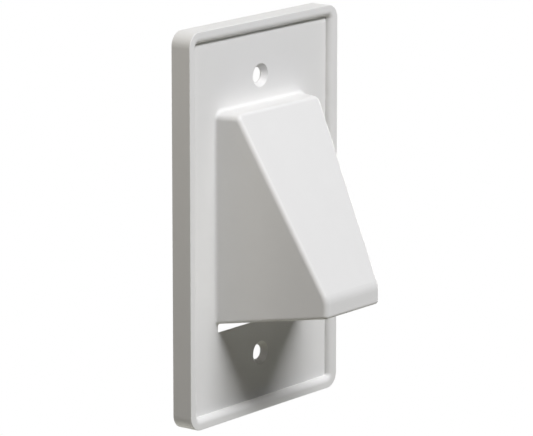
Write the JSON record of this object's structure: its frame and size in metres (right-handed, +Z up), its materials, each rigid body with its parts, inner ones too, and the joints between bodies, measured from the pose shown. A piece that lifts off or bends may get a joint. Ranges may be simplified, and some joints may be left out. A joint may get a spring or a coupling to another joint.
{
  "type": "cable entrance wall plate",
  "caption": "White moulded wall plate with a raised rim, countersunk screw holes and a tapered hood, open below, over a cable opening.",
  "frame": {"origin": "midway between the two screw holes, on the back of the panel, where the holes come out", "axes": "+Z up as mounted on a wall, -Y out of the wall towards the room, +Y into the wall, +X to the right seen from the room"},
  "size_m": [0.0698, 0.0389, 0.1172],
  "materials": {
    "white_plastic": "satin white moulded plastic"
  },
  "bodies": {
    "root": {"wall_plate": "white_plastic"}
  },
  "joints": []
}
